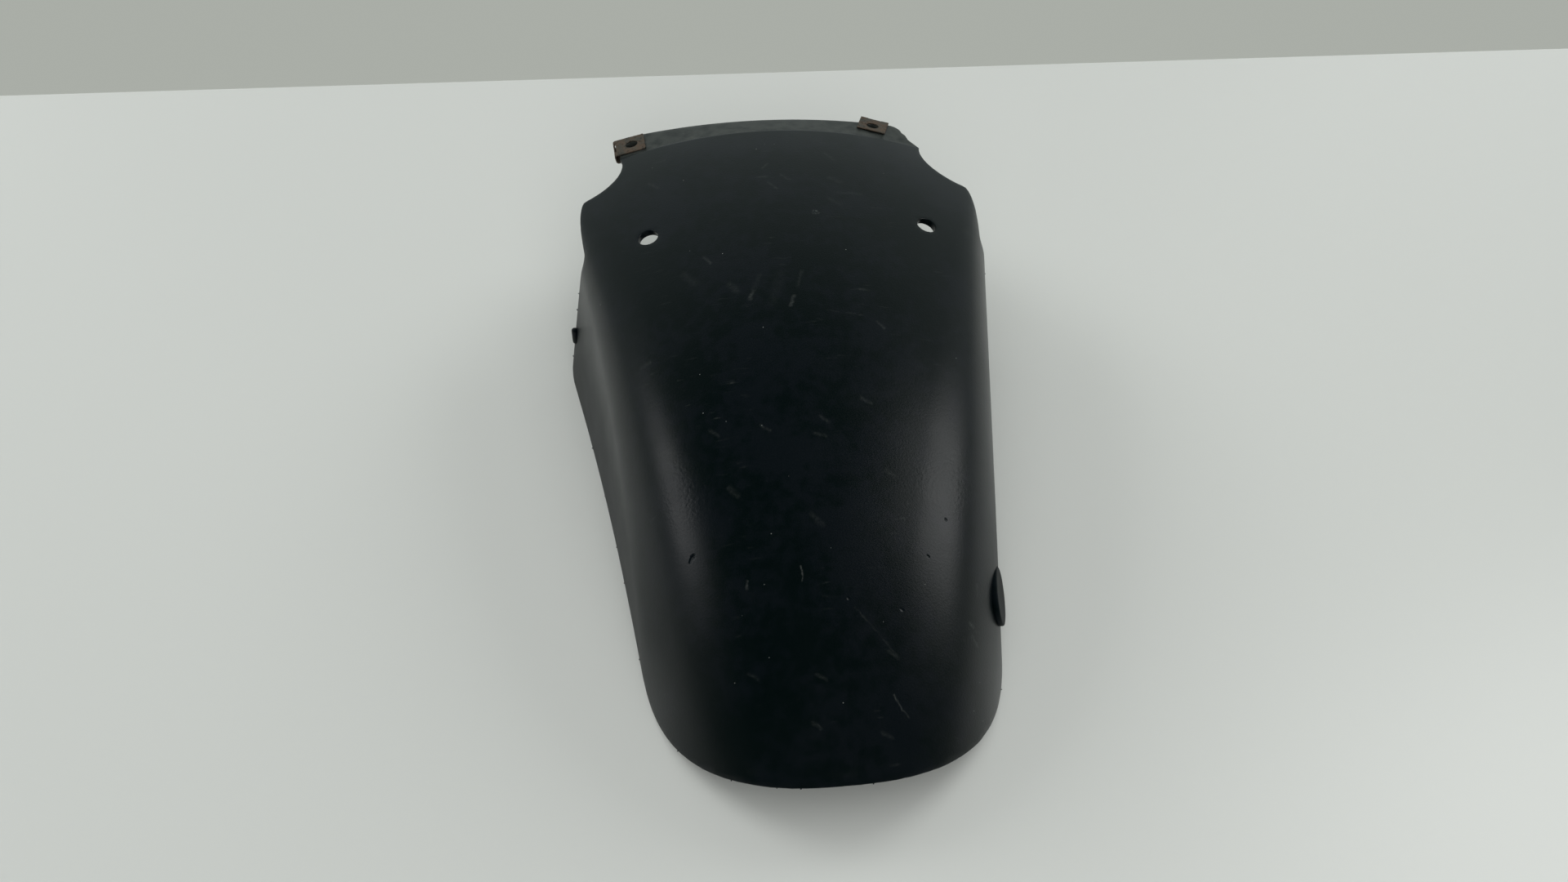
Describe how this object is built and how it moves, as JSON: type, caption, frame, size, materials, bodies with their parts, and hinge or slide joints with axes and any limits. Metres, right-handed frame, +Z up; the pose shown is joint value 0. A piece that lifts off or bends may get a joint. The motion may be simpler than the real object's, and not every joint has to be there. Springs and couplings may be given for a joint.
{
  "type": "motorcycle front fender",
  "caption": "Rear section of a moulded black plastic motorcycle front fender: an arched channel with fork cut-outs, brace bolt holes and a stepped joining flange that carries clip nuts.",
  "frame": {"origin": "centre of the bounding box on the table, where the straight wall edges rest", "axes": "+X across the fender to the right, +Y along it from the rounded near end to the joining flange, +Z up out of the crown"},
  "size_m": [0.201, 0.3185, 0.088],
  "materials": {
    "black_plastic": "satin black moulded polypropylene, scuffed and faded",
    "rusty_steel": "spring steel with brown surface rust"
  },
  "bodies": {
    "root": {"fender_shell": "black_plastic", "clip_nut_left": "rusty_steel", "clip_nut_right": "rusty_steel"}
  },
  "joints": []
}
